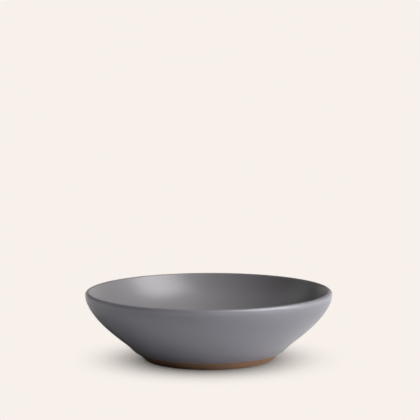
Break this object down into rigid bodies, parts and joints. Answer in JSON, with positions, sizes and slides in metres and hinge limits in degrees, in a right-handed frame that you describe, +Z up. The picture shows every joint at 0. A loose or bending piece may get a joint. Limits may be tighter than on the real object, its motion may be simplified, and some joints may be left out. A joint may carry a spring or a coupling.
{
  "type": "side bowl",
  "caption": "Shallow round stoneware bowl with a flared wall that turns upright at a rounded lip, satin glaze inside and out, and a bare clay foot.",
  "frame": {"origin": "centre of the foot ring, on the table", "axes": "+Z up along the bowl's axis of turning, X and Y across the bowl and alike"},
  "size_m": [0.17, 0.17, 0.047],
  "materials": {
    "bare_clay": "matte bare stoneware",
    "outside_glaze": "satin",
    "inside_glaze": "satin"
  },
  "bodies": {
    "root": {"clay_body": "bare_clay", "outside_glaze": "outside_glaze", "inside_glaze": "inside_glaze"}
  },
  "joints": []
}
